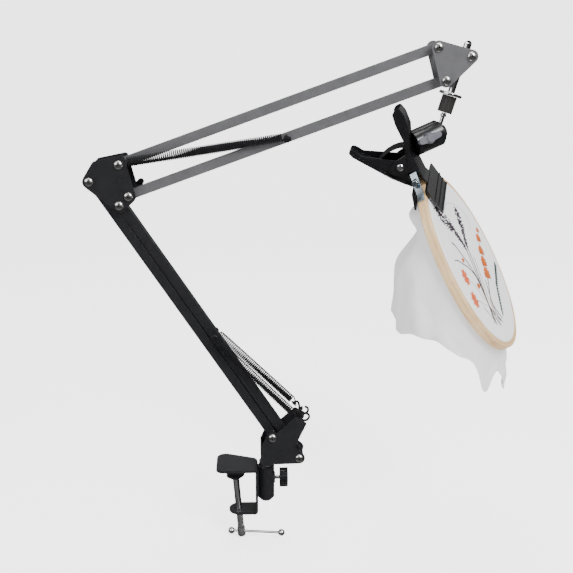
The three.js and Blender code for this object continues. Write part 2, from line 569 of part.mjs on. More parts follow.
function clipJawFront() {
  const cheek = polygon([[-51.5, 19.8], [-54, 23.5], [-54.2, 27.5], [-53, 29.4], [-45, 30], [-30, 27],
    [-11.5, 17.2], [13.4, 15], [13.4, 12],
    [9, 4], [8, -6], [4, -10.5], [-1, -12], [-5, -9.5], [-7.6, -2], [-9, 11.3], [-21.5, 16.6],
    [-40.9, 17.6]]);
  const web = band(LEVER_LINE, MOULDING, -CLIP_HALF, CLIP_HALF);
  const ribs = [14, 20.5, 27].map((x) => box(x, x + 1.7, -BLADE_HALF, BLADE_HALF, 0.5, 2));
  const blade = join(box(0, 28.7, -BLADE_HALF, BLADE_HALF, -MOULDING / 2, MOULDING / 2), ...ribs)
    .rotateY(-5 * DEG).translate(28.4, 0, 16.4);
  const hole = pin([0, 0], 2.5, -20, 20);
  return narrowed(cut(join(web, blade, ...cheeks(cheek, 13, CLIP_HALF)), hole), -11.5, -55, 0.55);
}
add('clip_jaw_front', clipJawFront(), PLASTIC, clip);

function clipJawRear() {
  const cheek = polygon([[-37.4, -41.4], [-39.4, -39], [-38.6, -36], [-35, -33.6], [-28.7, -31],
    [-7.4, -1.5], [-6, 4.5], [-2.5, 7.5],
    [2.5, 7.5], [7, 3.5], [14, 1], [24, 1.5], [26, -1], [20, -5.4], [6.5, -15], [-31.5, -40]]);
  const line = [[27, 2.2], [19, -5], [6.5, -14.7], [-31.5, -39], [-38.5, -40.4]];
  const web = band(line.reverse(), -MOULDING, -CLIP_HALF, CLIP_HALF);
  const blade = box(0, 18, -BLADE_HALF, BLADE_HALF, -MOULDING / 2, MOULDING / 2).rotateY(20 * DEG)
    .translate(25, 0, 2.5);
  return narrowed(cut(join(web, blade, ...cheeks(cheek, 10.5, 12.3)), pin([0, 0], 2.5, -20, 20)), -8, -39,
    0.6);
}
add('clip_jaw_rear', clipJawRear(), PLASTIC, clip);

const headAt = CLIP_HALF + GAP;
add('clip_pivot_screw', turned([[0, -headAt - 1.8], [2.8, -headAt - 1.8], [4, -headAt - 0.7], [4, -headAt],
  [2.2, -headAt], [2.2, headAt], [4, headAt], [4, headAt + 0.7], [2.8, headAt + 1.8],
  [0, headAt + 1.8]], 20), NICKEL, clip);
add('clip_spring', band([[-13.5, 14.2], [-16.8, 8], [-18, 1], [-17.6, -7], [-15.8, -14],
  [-13.5, -20.6]], 0.9, -8, 8),
  SPRING_STEEL, clip);
add('jaw_pad_front', box(29.5, 36, -34, 34, 14, 15), PLASTIC, clip);
add('jaw_pad_rear', slab(polygon([[29.3, 3.4], [35, 3.4], [35, 1.3], [29.3, 2.6]]), -34, 34), PLASTIC, clip);

// ---------------------------------------------------------------- ball housing and its wing knob

// The housing stands on the front lever and reaches along its own axis to the ball.
const ballCentre = flangeCentre.clone().addScaledVector(rodAxis, -BALL_DROP);
const clipSeat = new THREE.Vector3(-10, 6, 19).applyMatrix4(clip.matrix);
const housingAxis = ballCentre.clone().sub(clipSeat).normalize();
const housingSide = housingAxis.clone().cross(rodAxis).normalize();
const housingDown = housingAxis.clone().cross(housingSide);

// Local axes of the housing: X away from the stud, Y along the housing, Z towards the wing knob.
const housing = new THREE.Group();
housing.applyMatrix4(new THREE.Matrix4().makeBasis(housingDown, housingAxis,
  housingSide).setPosition(ballCentre));
stand.add(housing);
const KNOB_BACK = -19;                 // wing knob behind the ball centre
const KNOB_TURN = -18 * DEG;           // turn of the wing knob about the housing, towards the stud

function ballHousing() {
  const shell = turned([[0, -HOUSING_BACK], [HOUSING_RADIUS, -HOUSING_BACK],
    [HOUSING_RADIUS, HOUSING_FRONT - 3],
    [HOUSING_RADIUS - 2.5, HOUSING_FRONT], [8, HOUSING_FRONT], [7.4, HOUSING_FRONT + 3.6],
    [0, HOUSING_FRONT + 3.6]], 24);
  const socket = new THREE.SphereGeometry(BALL_RADIUS + GAP, 12, 8);
  const mouth = new THREE.CylinderGeometry(6.2, 4.6, 8, 12).translate(0, 7, 0);
  const slot = box(-40, 0, -3.2, 20, -2.9, 2.9);
  const knobHole = new THREE.CylinderGeometry(2.6, 2.6, 20, 16).rotateX(Math.PI / 2)
    .translate(0, KNOB_BACK, 14).rotateY(KNOB_TURN);
  const lever = slab(polygon([...LEVER_LINE.slice(0, 5).map(([x, z]) => [x, z + 0.5]), [60, 15.7],
    [60, -60], [-55, -60]]),
    -60, 60);
  lever.applyMatrix4(clip.matrix).applyMatrix4(housing.matrix.clone().invert());
  return cut(shell, socket, mouth, slot, knobHole, lever);
}
add('ball_housing', ballHousing(), PLASTIC, housing);

function ballWingKnob() {
  const start = HOUSING_RADIUS + GAP;
  const hub = upright([[0, start], [6.2, start], [5.6, start + 5], [4.4, start + 7], [0, start + 7]]);
  const wings = sheet(discHull([[0, -10.5, 3.1], [0, 0, 4.4], [0, 10.5, 3.1]]), start + 0.8, start + 5.2);
  const shank = new THREE.CylinderGeometry(2.2, 2.2, 6, 16).rotateX(Math.PI / 2).translate(0, 0, start - 2.5);
  return join(hub, wings, shank).translate(0, KNOB_BACK, 0).rotateY(KNOB_TURN);
}
add('ball_wing_knob', ballWingKnob(), GREY_PLASTIC, housing);

// ---------------------------------------------------------------- hoop

// Local axes of the hoop are those of the clip, centred between the faces of the rings.
const hoop = new THREE.Group();
hoop.applyMatrix4(clip.matrix.clone().multiply(new THREE.Matrix4().makeTranslation(...HOOP_IN_CLIP)));
stand.add(hoop);
const SPLIT_TURN = 0.95 * DEG;         // turn of the outer ring's split from the middle of the clip
const LUG_HALF = 3.8;                  // half width of the closure strips

function ring(inner, outer) {
  const bevel = 0.9;
  const [low, high] = [-HOOP_HALF, HOOP_HALF];
  return upright([[inner, low + bevel], [inner + bevel, low], [outer - bevel, low], [outer, low + bevel],
    [outer, high - bevel], [outer - bevel, high], [inner + bevel, high], [inner, high - bevel],
    [inner, low + bevel]], 48);
}
add('hoop_outer_ring', cut(ring(HOOP_INNER, HOOP_RADIUS), box(-120, -80, -1.6, 1.6, -10,
  10)).rotateZ(SPLIT_TURN),
  WOOD, hoop);
add('hoop_inner_ring', ring(INNER_RING_INNER, INNER_RING_RADIUS), WOOD, hoop);

// A metal strip lies on the outer ring and rises to an ear that takes the closing screw.
function hoopLug(side) {
  const rim = HOOP_RADIUS + GAP;
  const onRim = (turn, lift) => [-(rim + lift) * Math.cos(turn * DEG), -(rim + lift) * Math.sin(turn * DEG)];
  const outline = [[-120, -4.4], [-102.9, -21.8], onRim(15, 1.1), onRim(18, 1.1), onRim(18, 0), onRim(15, 0),
    [-101.4, -21.2], [-118.6, -3.9]];
  const strip = sheet(polygon(outline), -LUG_HALF, LUG_HALF);
  const hole = new THREE.CylinderGeometry(1.8, 1.8, 30, 12).translate(-113.5, -10, 0);
  const lug = cut(strip, hole);
  return (side < 0 ? lug : lug.rotateX(Math.PI)).rotateZ(SPLIT_TURN);
}
add('hoop_lug_left', hoopLug(-1), ZINC, hoop);
add('hoop_lug_right', hoopLug(1), ZINC, hoop);
add('hoop_screw', turned([[0, -19.3], [3, -19.3], [3.6, -18.7], [3.6, -15.3], [1.5, -15.3], [1.5, 13.7],
  [0, 13.7]])
  .translate(-113.5, 0, 0).rotateZ(SPLIT_TURN), ZINC, hoop);

// The cloth lies across the inner ring, turns back inside it and hangs down behind the rings.
function embroideredCloth() {
  const reach = INNER_RING_INNER - GAP;
  const back = -HOOP_HALF - 0.4;
  const disc = upright([[0, 3], [reach - 1.2, 3], [reach - 1.2, back - 1.2], [reach + 14, back - 1.2],
    [reach + 14, back],
    [reach, back], [reach, 4.2], [0, 4.2]], 48);
  const taut = cut(disc, box(-120, -85, -70, 70, -20, back + 0.01)).applyMatrix4(hoop.matrix);
  const lowest = new THREE.Vector3(97 * Math.cos(CLIP_TURN), -97 * Math.sin(CLIP_TURN),
    -6).applyMatrix4(hoop.matrix);
  const fall = sheet(polygon([[-40, 0.5], [40, 0.5], [60, -4], [52, -28], [41, -46], [30, -28], [0, -20],
    [-32, -10]]), 0, 1.2);
  const up = new THREE.Vector3(0, 0, 1);
  fall.applyMatrix4(new THREE.Matrix4().makeBasis(sideways, up,
    sideways.clone().cross(up)).setPosition(lowest));
  return join(taut, fall);
}
add('embroidered_cloth', embroideredCloth(), CLOTH);

export default model;
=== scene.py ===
"""Looks of an embroidery hoop on a spring-balanced desk stand.

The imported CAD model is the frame. This script gives every piece its material, rounds the edges of
the CAD pieces, and models the soft and fine pieces: coiled springs, the draped cloth and its
embroidery. Points and dimensions of the object are in millimetres, and MM turns them into the
metres of the frame. The room, its lights and the camera are in metres.
"""

import json
import math
import random

import bpy
from mathutils import Matrix, Vector, noise


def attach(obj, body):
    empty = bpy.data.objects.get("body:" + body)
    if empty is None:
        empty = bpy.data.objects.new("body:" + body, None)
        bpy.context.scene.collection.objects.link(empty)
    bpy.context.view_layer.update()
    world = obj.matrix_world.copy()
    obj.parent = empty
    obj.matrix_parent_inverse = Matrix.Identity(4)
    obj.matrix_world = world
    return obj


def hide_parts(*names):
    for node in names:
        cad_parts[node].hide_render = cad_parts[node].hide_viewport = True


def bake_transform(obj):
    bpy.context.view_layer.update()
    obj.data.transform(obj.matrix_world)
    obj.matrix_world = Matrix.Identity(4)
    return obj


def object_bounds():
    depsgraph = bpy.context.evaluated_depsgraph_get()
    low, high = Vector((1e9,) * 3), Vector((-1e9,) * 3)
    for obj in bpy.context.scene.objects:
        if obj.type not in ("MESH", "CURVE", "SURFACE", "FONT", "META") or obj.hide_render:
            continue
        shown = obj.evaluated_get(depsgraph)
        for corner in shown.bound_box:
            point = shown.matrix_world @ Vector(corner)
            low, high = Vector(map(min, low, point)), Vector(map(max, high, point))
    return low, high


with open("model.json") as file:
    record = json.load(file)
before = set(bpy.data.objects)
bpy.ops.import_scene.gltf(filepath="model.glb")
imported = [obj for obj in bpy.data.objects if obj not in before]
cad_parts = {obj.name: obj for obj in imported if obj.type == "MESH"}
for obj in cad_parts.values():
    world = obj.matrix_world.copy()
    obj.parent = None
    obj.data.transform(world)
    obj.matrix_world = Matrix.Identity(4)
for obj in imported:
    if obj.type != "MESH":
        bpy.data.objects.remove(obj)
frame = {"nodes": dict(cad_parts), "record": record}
size_at_start = [list(corner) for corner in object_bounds()]

MM = 0.001
FINE = 2

# Driving dimensions of the object. Points are (x, z) in the plane of the arms.
SWIVEL_X_MM = 40.0
BASE_LEFT = (SWIVEL_X_MM + 7.3, 39.0)
BASE_RIGHT = (SWIVEL_X_MM + 37.5, 14.0)
LOWER_LENGTH_MM = 346
UPPER_LENGTH_MM = 349
LOWER_ANGLE = math.radians(123.2)
UPPER_ANGLE = math.radians(19.7)
HOOK_EYE = (SWIVEL_X_MM + 36.5, 67.6)
HOOK_BOW = (-3.7, 0.7)
LOWER_PIN_REACH_MM = 170
UPPER_PIN_REACH_MM = 176
PLATE_OUTER_MM = 16.1
CLAMP_SCREW_FOOT = (SWIVEL_X_MM - 31.6, 0, -55)
SCREW_LEAN = math.radians(4.7)
HOOP_AZIMUTH = math.radians(-22.8)
HOOP_ELEVATION = math.radians(29.4)
CLIP_TURN = math.radians(18)
CLIP_PIVOT = Vector((SWIVEL_X_MM + 144.3, -8.5, 347.05))
HOOP_IN_CLIP = (131, -10.3, 8.7)
LOCK_SHANK_END_MM = SWIVEL_X_MM + 15.6

# Rounded edges of the CAD pieces.
WELD_MM = 0.02
EDGE_MM = 0.28
EDGE_ANGLE = math.radians(38)

# Balance springs: closed coils between a loop round the pin and a loop at the far end.
SPRING_SIDE_MM = 10
SPRING_STAGGER_MM = 1.6
WIRE_RADIUS_MM = 0.7
COIL_RADIUS_MM = 4.0
STEPS_PER_TURN = 12
LOOP_GAP_MM = 2.2
PIN_LOOP_MM = 3.2
HOOK_LOOP_MM = 3.4
ELBOW_LOOP_MM = 6.2
LOWER_TURNS = 50
UPPER_TURNS = 74

# Screw heads and the painted shade of the cross in each.
HEAD_GAP_MM = 0.3
HEAD_HEIGHT_MM = 2.7
CROSS_ARM_MM = 2.6
CROSS_HALF_WIDTH_MM = 0.7
CROSS_DEPTH_MM = 0.25
CROSS_PROUD_MM = 0.08

# Cloth: heights are above the middle of the hoop, along its normal.
RING_BACK_MM = -5.3
CLOTH_TOP_MM = 5.18
FALL_RADIUS_MM = 97
SHORTEST_FALL_MM = 24
CLOTH_THICKNESS_MM = 0.25
STITCH_LIFT_MM = CLOTH_TOP_MM + 0.22

# Camera, in metres and degrees.
CAMERA_PLACE = (0.0291, -0.984, 0.468)
CAMERA_PITCH = 90 - 14.65
CAMERA_TURN = -2.01
CAMERA_LENS = 58.5
CAMERA_SENSOR = 36


def along(point, angle, distance):
    """Point in the plane of the arms at a distance along an angle."""
    return (point[0] + distance * math.cos(angle), point[1] + distance * math.sin(angle))


def shift(point, dx, dz):
    """Point moved in the plane of the arms."""
    return (point[0] + dx, point[1] + dz)


ELBOW_LEFT = along(BASE_LEFT, LOWER_ANGLE, LOWER_LENGTH_MM)
ELBOW_RIGHT = along(BASE_RIGHT, LOWER_ANGLE, LOWER_LENGTH_MM)
ELBOW_TOP = shift(ELBOW_LEFT, 31.3, 17.5)
ELBOW_BOTTOM = shift(ELBOW_TOP, 9, -33)
END_TOP = along(ELBOW_TOP, UPPER_ANGLE, UPPER_LENGTH_MM)
END_BOTTOM = along(ELBOW_BOTTOM, UPPER_ANGLE, UPPER_LENGTH_MM)
TILT_PIVOT = shift(END_TOP, 33.9, -8.9)
LOWER_PIN = along(BASE_RIGHT, LOWER_ANGLE, LOWER_PIN_REACH_MM)
UPPER_PIN = along(ELBOW_BOTTOM, UPPER_ANGLE, UPPER_PIN_REACH_MM)

# Axes of the hoop: its normal, uphill in its plane, and sideways in its plane towards the front.
NORMAL = Vector((math.cos(HOOP_ELEVATION) * math.cos(HOOP_AZIMUTH),
                 math.cos(HOOP_ELEVATION) * math.sin(HOOP_AZIMUTH),
                 math.sin(HOOP_ELEVATION)))
UPHILL = (Vector((0, 0, 1)) - NORMAL * NORMAL.z).normalized()
SIDEWAYS = NORMAL.cross(UPHILL)
CLIP_X = -math.cos(CLIP_TURN) * UPHILL - math.sin(CLIP_TURN) * SIDEWAYS
CLIP_Y = NORMAL.cross(CLIP_X)
HOOP_CENTRE = (CLIP_PIVOT + HOOP_IN_CLIP[0] * CLIP_X + HOOP_IN_CLIP[1] * CLIP_Y
               + HOOP_IN_CLIP[2] * NORMAL)


def frame_matrix(x_axis, y_axis, z_axis, origin_mm):
    """Matrix from a local frame in millimetres to the frame of the CAD, in metres."""
    columns = Matrix((x_axis, y_axis, z_axis)).transposed().to_4x4()
    return Matrix.Translation(origin_mm * MM) @ columns @ Matrix.Scale(MM, 4)


# Local frame of the hoop's picture: X to the right as it is looked at, Y uphill, Z out of the cloth.
PICTURE = frame_matrix(-SIDEWAYS, UPHILL, NORMAL, HOOP_CENTRE)


# ---------------------------------------------------------------- materials


def new_material(name):
    """A material with its nodes and links."""
    made = bpy.data.materials.new(name)
    made.use_nodes = True
    return made, made.node_tree.nodes, made.node_tree.links


def add_node(nodes, kind, settings=None):
    """A shader node, with values for some of its inputs."""
    node = nodes.new("ShaderNode" + kind)
    for name, value in (settings or {}).items():
        node.inputs[name].default_value = value
    return node


def add_relief(nodes, links, height, strength, distance):
    """Fine relief of the surface, from a height."""
    relief = add_node(nodes, "Bump", {"Strength": strength, "Distance": distance})
    links.new(height, relief.inputs["Height"])
    links.new(relief.outputs["Normal"], nodes["Principled BSDF"].inputs["Normal"])


def add_tint(nodes, links, factor, low, high):
    """Base colour that wanders between two colours."""
    tint = add_node(nodes, "Mix")
    tint.data_type = "RGBA"
    tint.inputs["A"].default_value = (*low, 1)
    tint.inputs["B"].default_value = (*high, 1)
    links.new(factor, tint.inputs["Factor"])
    links.new(tint.outputs["Result"], nodes["Principled BSDF"].inputs["Base Color"])


def add_local(nodes, links, rotation, location=(0, 0, 0)):
    """Coordinates in a turned frame of their own."""
    place = add_node(nodes, "TexCoord")
    local = add_node(nodes, "Mapping")
    local.vector_type = "TEXTURE"
    local.inputs["Location"].default_value = location
    local.inputs["Rotation"].default_value = rotation
    links.new(place.outputs["Object"], local.inputs["Vector"])
    return local.outputs["Vector"]


def add_math(nodes, links, operation, first, second=None):
    """A calculation on one or two values; the second may be a plain number."""
    node = add_node(nodes, "Math")
    node.operation = operation
    links.new(first, node.inputs[0])
    if isinstance(second, (int, float)):
        node.inputs[1].default_value = second
    elif second is not None:
        links.new(second, node.inputs[1])
    return node.outputs[0]


def surface(name, colour, roughness, metallic=0.0, speckle=0.0, scale=900.0, bump=0.0, coat=0.0,
            wear=0.06, shine=0.5):
    """A painted, plated or moulded surface with fine relief and slightly uneven gloss."""
    made, nodes, links = new_material(name)
    shader = nodes["Principled BSDF"]
    shader.inputs["Metallic"].default_value = metallic
    shader.inputs["Coat Weight"].default_value = coat
    shader.inputs["Specular IOR Level"].default_value = shine
    place = add_node(nodes, "TexCoord")
    fine = add_node(nodes, "TexNoise", {"Scale": scale, "Detail": 4})
    broad = add_node(nodes, "TexNoise", {"Scale": scale / 14, "Detail": 5})
    links.new(place.outputs["Object"], fine.inputs["Vector"])
    links.new(place.outputs["Object"], broad.inputs["Vector"])
    dark = [c * (1 - speckle) for c in colour]
    bright = [min(1, c * (1 + speckle)) for c in colour]
    add_tint(nodes, links, broad.outputs["Fac"], dark, bright)
    smoothest = max(0.02, roughness - wear)
    gloss = add_node(nodes, "MapRange", {"To Min": smoothest, "To Max": roughness + wear})
    links.new(broad.outputs["Fac"], gloss.inputs["Value"])
    links.new(gloss.outputs["Result"], shader.inputs["Roughness"])
    add_relief(nodes, links, fine.outputs["Fac"], bump, 0.0002)
    return made


def threaded(name):
    """Chrome with the ridges of a screw thread across the leaning clamp screw."""
    made = surface(name, (0.78, 0.78, 0.79), 0.14, metallic=1.0, bump=0.05)
    nodes, links = made.node_tree.nodes, made.node_tree.links
    local = add_local(nodes, links, (0, -SCREW_LEAN, 0), [c * MM for c in CLAMP_SCREW_FOOT])
    wave = add_node(nodes, "TexWave", {"Scale": 180})
    wave.bands_direction = "Z"
    links.new(local, wave.inputs["Vector"])
    add_relief(nodes, links, wave.outputs["Fac"], 0.4, 0.0006)
    return made


def hoop_wood():
    """Pale beech whose grain runs round the hoop."""
    made, nodes, links = new_material("beech")
    shader = nodes["Principled BSDF"]
    shader.inputs["Roughness"].default_value = 0.55
    local = add_local(nodes, links, PICTURE.to_3x3().normalized().to_euler(), HOOP_CENTRE * MM)
    parts = add_node(nodes, "SeparateXYZ")
    links.new(local, parts.inputs["Vector"])
    x, y, z = parts.outputs
    angle = add_math(nodes, links, "ARCTAN2", y, x)
    squares = add_math(nodes, links, "ADD", add_math(nodes, links, "MULTIPLY", x, x),
                       add_math(nodes, links, "MULTIPLY", y, y))
    radius = add_math(nodes, links, "SQRT", squares)
    grain = add_node(nodes, "CombineXYZ")
    links.new(add_math(nodes, links, "MULTIPLY", angle, 0.006), grain.inputs[0])
    links.new(radius, grain.inputs[1])
    links.new(z, grain.inputs[2])
    streaks = add_node(nodes, "TexNoise", {"Scale": 700, "Detail": 6, "Roughness": 0.6})
    links.new(grain.outputs[0], streaks.inputs["Vector"])
    broad = add_node(nodes, "TexNoise", {"Scale": 30})
    links.new(local, broad.inputs["Vector"])
    ramp = add_node(nodes, "ValToRGB")
    ramp.color_ramp.elements[0].position = 0.32
    ramp.color_ramp.elements[0].color = (0.50, 0.29, 0.12, 1)
    ramp.color_ramp.elements[1].position = 0.62
    ramp.color_ramp.elements[1].color = (0.80, 0.57, 0.31, 1)
    blend = add_math(nodes, links, "ADD",
                     add_math(nodes, links, "MULTIPLY", streaks.outputs["Fac"], 0.7),
                     add_math(nodes, links, "MULTIPLY", broad.outputs["Fac"], 0.3))
    links.new(blend, ramp.inputs["Fac"])
    links.new(ramp.outputs["Color"], shader.inputs["Base Color"])
    add_relief(nodes, links, streaks.outputs["Fac"], 0.25, 0.0003)
    return made


def woven(name, colour):
    """Plain cotton weave: two crossed sets of fine ridges, and slubs in the yarn."""
    made, nodes, links = new_material(name)
    shader = nodes["Principled BSDF"]
    shader.inputs["Roughness"].default_value = 0.9
    shader.inputs["Sheen Weight"].default_value = 0.25
    local = add_local(nodes, links, PICTURE.to_3x3().normalized().to_euler())
    heights = []
    for direction in ("X", "Y"):
        wave = add_node(nodes, "TexWave", {"Scale": 250, "Distortion": 0.6})
        wave.bands_direction = direction
        links.new(local, wave.inputs["Vector"])
        heights.append(wave.outputs["Fac"])
    weave = add_math(nodes, links, "MAXIMUM", heights[0], heights[1])
    slub = add_node(nodes, "TexNoise", {"Scale": 220, "Detail": 5})
    links.new(local, slub.inputs["Vector"])
    add_tint(nodes, links, slub.outputs["Fac"], [c * 0.93 for c in colour], colour)
    height = add_math(nodes, links, "ADD", weave, slub.outputs["Fac"])
    add_relief(nodes, links, height, 0.3, 0.0002)
    return made


def thread(name, colour):
    """Stranded embroidery cotton: a soft sheen and fine twist lines."""
    return surface(name, colour, 0.6, speckle=0.35, scale=2500, bump=0.5, wear=0.1)


DARK_PAINT = surface("dark enamel", (0.013, 0.013, 0.015), 0.3, speckle=0.2, scale=1400, bump=0.12,
                     coat=0.15)
GREY_PAINT = surface("grey enamel", (0.085, 0.085, 0.090), 0.4, speckle=0.2, scale=1400, bump=0.12,
                     coat=0.15)
CHROME = surface("chrome", (0.78, 0.78, 0.79), 0.08, metallic=1.0, bump=0.02, wear=0.03)
NICKEL = surface("nickel", (0.72, 0.71, 0.69), 0.22, metallic=1.0, speckle=0.08, bump=0.06)
BLACK_WIRE = surface("enamelled wire", (0.012, 0.012, 0.013), 0.5, speckle=0.2, bump=0.05, shine=0.08)
BLACK_PLASTIC = surface("black plastic", (0.007, 0.007, 0.008), 0.25, speckle=0.2, scale=1100, bump=0.05,
                        coat=0.15)
GREY_PLASTIC = surface("grey plastic", (0.10, 0.10, 0.12), 0.4, speckle=0.15, bump=0.1)
BROWN_PLASTIC = surface("brown ribbed plastic", (0.020, 0.017, 0.017), 0.42, speckle=0.2, bump=0.2)
RUBBER = surface("rubber", (0.018, 0.018, 0.018), 0.75, speckle=0.2, bump=0.4)
ZINC = surface("zinc plate", (0.50, 0.58, 0.64), 0.24, metallic=1.0, speckle=0.35, scale=700, bump=0.2,
               wear=0.12)
# Near-black colour of the screw-head crosses: painted shade standing in for the shadow inside each
# recess.
RECESS_SHADE = surface("recess shadow", (0.02, 0.02, 0.02), 0.5, bump=0.05)
THREADED = threaded("threaded steel")
WOOD = hoop_wood()
CLOTH = woven("white cotton", (0.86, 0.86, 0.89))

FINISHES = {
    "dark_paint": DARK_PAINT, "grey_paint": GREY_PAINT, "chrome": CHROME, "nickel": NICKEL,
    "black_wire": BLACK_WIRE, "black_plastic": BLACK_PLASTIC, "grey_plastic": GREY_PLASTIC,
    "brown_plastic": BROWN_PLASTIC, "rubber_pad": RUBBER, "wood": WOOD, "zinc": ZINC, "cloth": CLOTH,
}


def chrome_shank(knob):
    """The lock knob is moulded on a bright threaded shank."""
    knob.data.materials.append(CHROME)
    for face in knob.data.polygons:
        if (knob.matrix_world @ face.center).x < LOCK_SHANK_END_MM * MM:
            face.material_index = 1


def finish_cad_pieces():
    """Every CAD piece gets its finish, softly rounded edges and smooth shading."""
    slots = {entry["node"]: entry["material_slot"] for entry in frame["record"]["subparts"]}
    for name, piece in frame["nodes"].items():
        made = THREADED if name == "clamp_screw" else FINISHES[slots[name]]
        piece.data.materials.clear()
        piece.data.materials.append(made)
        for face in piece.data.polygons:
            face.use_smooth = True
            face.material_index = 0
        if name == "lock_knob":
            chrome_shank(piece)
        weld = piece.modifiers.new("weld", "WELD")
        weld.merge_threshold = WELD_MM * MM
        bevel = piece.modifiers.new("soft edges", "BEVEL")
        bevel.width = EDGE_MM * MM
        bevel.segments = FINE
        bevel.limit_method = "ANGLE"
        bevel.angle_limit = EDGE_ANGLE
        piece.modifiers.new("even shading", "WEIGHTED_NORMAL")


finish_cad_pieces()


# ---------------------------------------------------------------- mesh helpers


def make_mesh(name, vertices, faces, made, smooth=True):
    """An object in the scene from vertices, faces and one material."""
    data = bpy.data.meshes.new(name)
    data.from_pydata([tuple(v) for v in vertices], [], faces)
    data.update()
    data.materials.append(made)
    for face in data.polygons:
        face.use_smooth = smooth
    piece = bpy.data.objects.new(name, data)
    bpy.context.scene.collection.objects.link(piece)
    return piece


def tube(points, radius, sides=6):
    """Vertices and faces of a round wire along points, with closed ends."""
    count = len(points)
    vertices, faces = [], []
    up = None
    for i, point in enumerate(points):
        ahead = (points[min(i + 1, count - 1)] - points[max(i - 1, 0)]).normalized()
        if up is None:
            up = ahead.orthogonal().normalized()
        up = (up - ahead * up.dot(ahead)).normalized()
        side = ahead.cross(up)
        for k in range(sides):
            a = 2 * math.pi * k / sides
            vertices.append(point + radius * (math.cos(a) * up + math.sin(a) * side))
    for i in range(count - 1):
        for k in range(sides):
            n = (k + 1) % sides
            faces.append((i * sides + k, i * sides + n, (i + 1) * sides + n, (i + 1) * sides + k))
    faces.append(tuple(reversed(range(sides))))
    faces.append(tuple((count - 1) * sides + k for k in range(sides)))
    return vertices, faces


def merged(parts):
    """One vertex and face list from several."""
    vertices, faces = [], []
    for some_vertices, some_faces in parts:
        start = len(vertices)
        vertices.extend(some_vertices)
        faces.extend(tuple(i + start for i in face) for face in some_faces)
    return vertices, faces


# ---------------------------------------------------------------- springs


def coil_points(length, lift, far_radius, far_square, turns):
    """Centre line of an extension spring along X, from its loop round the pin to its far loop."""
    start = PIN_LOOP_MM + LOOP_GAP_MM
    end = length - far_radius - LOOP_GAP_MM
    count = turns * STEPS_PER_TURN
    points = []
    for i in range(12):
        a = math.radians(-160 + 280 * i / 11)
        points.append(Vector((-PIN_LOOP_MM * math.cos(a), 0, -PIN_LOOP_MM * math.sin(a))))
    for i in range(count + 1):
        a = 2 * math.pi * i / STEPS_PER_TURN + math.pi / 2
        x = start + (end - start) * i / count
        points.append(Vector((x, COIL_RADIUS_MM * math.cos(a), lift + COIL_RADIUS_MM * math.sin(a))))
    for i in range(14):
        a = math.radians(150 - 290 * i / 13)
        x = length - far_radius * math.cos(a)
        across = far_radius * math.sin(a)
        points.append(Vector((x, across, 0)) if far_square else Vector((x, 0, across)))
    return points


def balance_spring(node, pin, anchor, far_radius, far_square, side, turns):
    """A coiled spring from its pin to its anchor, stretched between the bodies at its two ends."""
    lift = side * SPRING_STAGGER_MM
    ahead = Vector((anchor[0] - pin[0], 0, anchor[1] - pin[1]))
    direction = ahead.normalized()
    origin = Vector((pin[0], side * SPRING_SIDE_MM, pin[1]))
    place = frame_matrix(direction, Vector((0, 1, 0)), direction.cross(Vector((0, 1, 0))), origin)
    points = coil_points(ahead.length, lift, far_radius, far_square, turns)
    vertices, faces = tube(points, WIRE_RADIUS_MM, 5 + FINE)
    piece = make_mesh(node + "_coils", [place @ v for v in vertices], faces, BLACK_WIRE)
    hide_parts(node)
    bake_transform(piece)


def bow_of(side):
    """Where a lower spring ends on its hook, front (-1) or rear (1)."""
    return shift(HOOK_EYE, HOOK_BOW[0], side * SPRING_STAGGER_MM + HOOK_BOW[1])


balance_spring("lower_spring_front", LOWER_PIN, bow_of(-1), HOOK_LOOP_MM, True, -1,
               LOWER_TURNS)
balance_spring("lower_spring_rear", LOWER_PIN, bow_of(1), HOOK_LOOP_MM, True, 1,
               LOWER_TURNS)
balance_spring("upper_spring_front", UPPER_PIN, ELBOW_TOP, ELBOW_LOOP_MM, False, -1,
               UPPER_TURNS)
balance_spring("upper_spring_rear", UPPER_PIN, ELBOW_TOP, ELBOW_LOOP_MM, False, 1,
               UPPER_TURNS)


# ---------------------------------------------------------------- screw heads


def cross_recess(name, place, y, body):
    """Painted shade of the cross recess in a screw head: two thin dark crossed bars let into its crown,
    standing in for the shadow inside the recess.
    """
    vertices, faces = [], []
    for wide, tall in ((CROSS_ARM_MM, CROSS_HALF_WIDTH_MM), (CROSS_HALF_WIDTH_MM, CROSS_ARM_MM)):
        start = len(vertices)
        for deep in (0, CROSS_DEPTH_MM):
            for sx, sz in ((-1, -1), (1, -1), (1, 1), (-1, 1)):
                corner = Vector((place[0] + sx * wide, y - CROSS_PROUD_MM + deep, place[1] + sz * tall))
                vertices.append(corner * MM)
        faces.extend(tuple(start + i for i in face) for face in
                     ((0, 1, 2, 3), (7, 6, 5, 4), (0, 4, 5, 1), (1, 5, 6, 2), (2, 6, 7, 3), (3, 7, 4, 0)))
    piece = make_mesh(name, vertices, faces, RECESS_SHADE, smooth=False)
    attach(piece, body)


HEAD_TOP_MM = -PLATE_OUTER_MM - HEAD_GAP_MM - HEAD_HEIGHT_MM
for label, spot, carrier in (
        ("base_left", BASE_LEFT, "swivel"), ("base_right", BASE_RIGHT, "swivel"),
        ("elbow_left", ELBOW_LEFT, "elbow"), ("elbow_right", ELBOW_RIGHT, "elbow"),
        ("elbow_top", ELBOW_TOP, "elbow"), ("elbow_bottom", ELBOW_BOTTOM, "elbow"),
        ("end_top", END_TOP, "end"), ("end_bottom", END_BOTTOM, "end"), ("tilt", TILT_PIVOT, "end")):
    cross_recess("recess_" + label, spot, HEAD_TOP_MM, carrier)


# ---------------------------------------------------------------- cloth


def smooth_step(value):
    """Eased step from 0 to 1."""
    value = min(1.0, max(0.0, value))
    return value * value * (3 - 2 * value)


def hump(value, middle, width):
    """Smooth bump of height 1 round a middle value."""
    return math.exp(-((value - middle) / width) ** 2)


